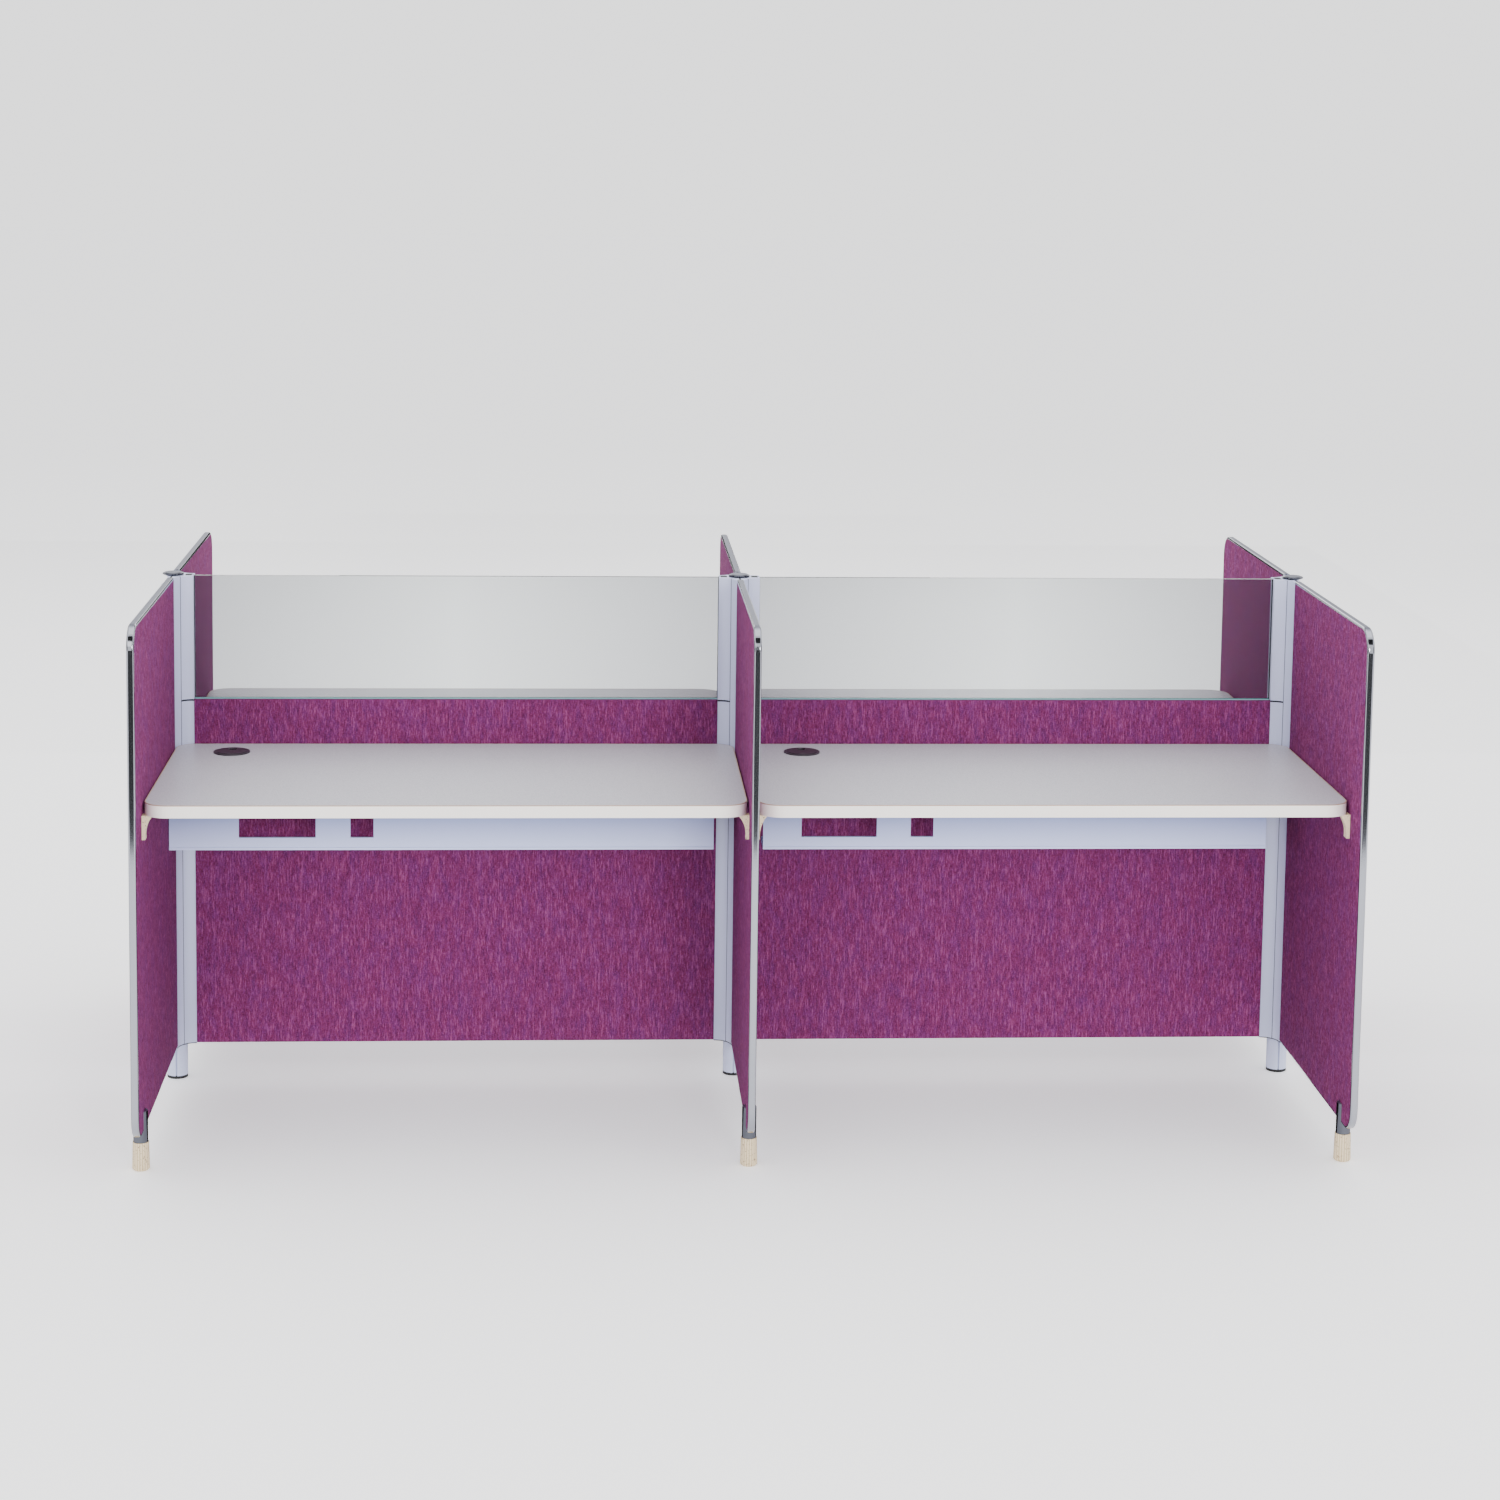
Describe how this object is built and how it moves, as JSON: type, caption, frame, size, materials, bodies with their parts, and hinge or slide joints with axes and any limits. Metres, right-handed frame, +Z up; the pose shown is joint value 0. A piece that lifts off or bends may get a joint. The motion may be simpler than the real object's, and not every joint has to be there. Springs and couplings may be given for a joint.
{
  "type": "office workstation",
  "caption": "Back-to-back office workstation: fabric and glass spine on round posts, fabric side panels with bright edging, a desk with cable grommet and raceway in every bay",
  "frame": {"origin": "on the floor below the axis of the centre post", "axes": "+X along the spine to the right of the front places, +Y from the front places to the rear ones, +Z up"},
  "size_m": [2.4502, 1.33, 1.101],
  "materials": {
    "fabric": "matt woven, purple",
    "chrome": "polished",
    "aluminium": "satin, pale grey",
    "raceway": "satin paint",
    "laminate": "laminated board, fine speckle",
    "band": "satin edge band",
    "cream": "satin moulding",
    "charcoal": "satin moulding",
    "rubber": "matt",
    "glass": "clear, polished edges",
    "steel": "zinc plated"
  },
  "bodies": {
    "frame": {"post_left": "aluminium", "side_ends_left": "aluminium", "side_panel_front_left": "fabric", "side_trim_front_left": "chrome", "side_panel_rear_left": "fabric", "side_trim_rear_left": "chrome", "post_centre": "aluminium", "side_ends_centre": "aluminium", "side_panel_front_centre": "fabric", "side_trim_front_centre": "chrome", "side_panel_rear_centre": "fabric", "side_trim_rear_centre": "chrome", "post_right": "aluminium", "side_ends_right": "aluminium", "side_panel_front_right": "fabric", "side_trim_front_right": "chrome", "side_panel_rear_right": "fabric", "side_trim_rear_right": "chrome", "spine_ends_left": "aluminium", "glass_ends_left": "aluminium", "spine_panel_left": "fabric", "glass_left": "glass", "spine_ends_right": "aluminium", "glass_ends_right": "aluminium", "spine_panel_right": "fabric", "glass_right": "glass", "desk_top_front_left": "laminate", "raceway_front_left": "raceway", "desk_top_front_right": "laminate", "raceway_front_right": "raceway", "desk_top_rear_right": "laminate", "raceway_rear_right": "raceway", "desk_top_rear_left": "laminate", "raceway_rear_left": "raceway", "post_caps": "chrome", "post_glides": "rubber", "end_covers": "aluminium", "desk_bands": "band", "grommet_liners": "charcoal", "desk_brackets": "cream", "foot_clamps": "chrome"},
    "screw_front_left": {"stud_front_left": "steel"},
    "leveller_front_left": {"foot_front_left": "cream"},
    "screw_front_centre": {"stud_front_centre": "steel"},
    "leveller_front_centre": {"foot_front_centre": "cream"},
    "screw_front_right": {"stud_front_right": "steel"},
    "leveller_front_right": {"foot_front_right": "cream"},
    "screw_rear_left": {"stud_rear_left": "steel"},
    "leveller_rear_left": {"foot_rear_left": "cream"},
    "screw_rear_centre": {"stud_rear_centre": "steel"},
    "leveller_rear_centre": {"foot_rear_centre": "cream"},
    "screw_rear_right": {"stud_rear_right": "steel"},
    "leveller_rear_right": {"foot_rear_right": "cream"},
    "lid_front_left": {"grommet_lid_front_left": "charcoal"},
    "lid_front_right": {"grommet_lid_front_right": "charcoal"},
    "lid_rear_right": {"grommet_lid_rear_right": "charcoal"},
    "lid_rear_left": {"grommet_lid_rear_left": "charcoal"}
  },
  "joints": [
    {"name": "screw_travel_front_left", "type": "slide", "parent": "frame", "child": "screw_front_left", "axis": [0, 0, -1], "range_m": [0, 0.0151]},
    {"name": "foot_turn_front_left", "type": "hinge", "parent": "screw_front_left", "child": "leveller_front_left", "pos_m": [-1.2, -0.583, 0.03], "axis": [0, 0, -1], "range_deg": [0, 3600]},
    {"name": "screw_travel_front_centre", "type": "slide", "parent": "frame", "child": "screw_front_centre", "axis": [0, 0, -1], "range_m": [0, 0.0151]},
    {"name": "foot_turn_front_centre", "type": "hinge", "parent": "screw_front_centre", "child": "leveller_front_centre", "pos_m": [0, -0.583, 0.03], "axis": [0, 0, -1], "range_deg": [0, 3600]},
    {"name": "screw_travel_front_right", "type": "slide", "parent": "frame", "child": "screw_front_right", "axis": [0, 0, -1], "range_m": [0, 0.0151]},
    {"name": "foot_turn_front_right", "type": "hinge", "parent": "screw_front_right", "child": "leveller_front_right", "pos_m": [1.2, -0.583, 0.03], "axis": [0, 0, -1], "range_deg": [0, 3600]},
    {"name": "screw_travel_rear_left", "type": "slide", "parent": "frame", "child": "screw_rear_left", "axis": [0, 0, -1], "range_m": [0, 0.0151]},
    {"name": "foot_turn_rear_left", "type": "hinge", "parent": "screw_rear_left", "child": "leveller_rear_left", "pos_m": [-1.2, 0.583, 0.03], "axis": [0, 0, -1], "range_deg": [0, 3600]},
    {"name": "screw_travel_rear_centre", "type": "slide", "parent": "frame", "child": "screw_rear_centre", "axis": [0, 0, -1], "range_m": [0, 0.0151]},
    {"name": "foot_turn_rear_centre", "type": "hinge", "parent": "screw_rear_centre", "child": "leveller_rear_centre", "pos_m": [0, 0.583, 0.03], "axis": [0, 0, -1], "range_deg": [0, 3600]},
    {"name": "screw_travel_rear_right", "type": "slide", "parent": "frame", "child": "screw_rear_right", "axis": [0, 0, -1], "range_m": [0, 0.0151]},
    {"name": "foot_turn_rear_right", "type": "hinge", "parent": "screw_rear_right", "child": "leveller_rear_right", "pos_m": [1.2, 0.583, 0.03], "axis": [0, 0, -1], "range_deg": [0, 3600]},
    {"name": "lid_turn_front_left", "type": "hinge", "parent": "frame", "child": "lid_front_left", "pos_m": [-1.068, -0.108, 0.737], "axis": [0, 0, 1], "continuous": true},
    {"name": "lid_turn_front_right", "type": "hinge", "parent": "frame", "child": "lid_front_right", "pos_m": [0.132, -0.108, 0.737], "axis": [0, 0, 1], "continuous": true},
    {"name": "lid_turn_rear_right", "type": "hinge", "parent": "frame", "child": "lid_rear_right", "pos_m": [1.068, 0.108, 0.737], "axis": [0, 0, 1], "continuous": true},
    {"name": "lid_turn_rear_left", "type": "hinge", "parent": "frame", "child": "lid_rear_left", "pos_m": [-0.132, 0.108, 0.737], "axis": [0, 0, 1], "continuous": true}
  ],
  "couplings": [
    {"joint": "screw_travel_front_left", "follows": "foot_turn_front_left", "m_per_rad": 0.00023873},
    {"joint": "screw_travel_front_centre", "follows": "foot_turn_front_centre", "m_per_rad": 0.00023873},
    {"joint": "screw_travel_front_right", "follows": "foot_turn_front_right", "m_per_rad": 0.00023873},
    {"joint": "screw_travel_rear_left", "follows": "foot_turn_rear_left", "m_per_rad": 0.00023873},
    {"joint": "screw_travel_rear_centre", "follows": "foot_turn_rear_centre", "m_per_rad": 0.00023873},
    {"joint": "screw_travel_rear_right", "follows": "foot_turn_rear_right", "m_per_rad": 0.00023873}
  ]
}
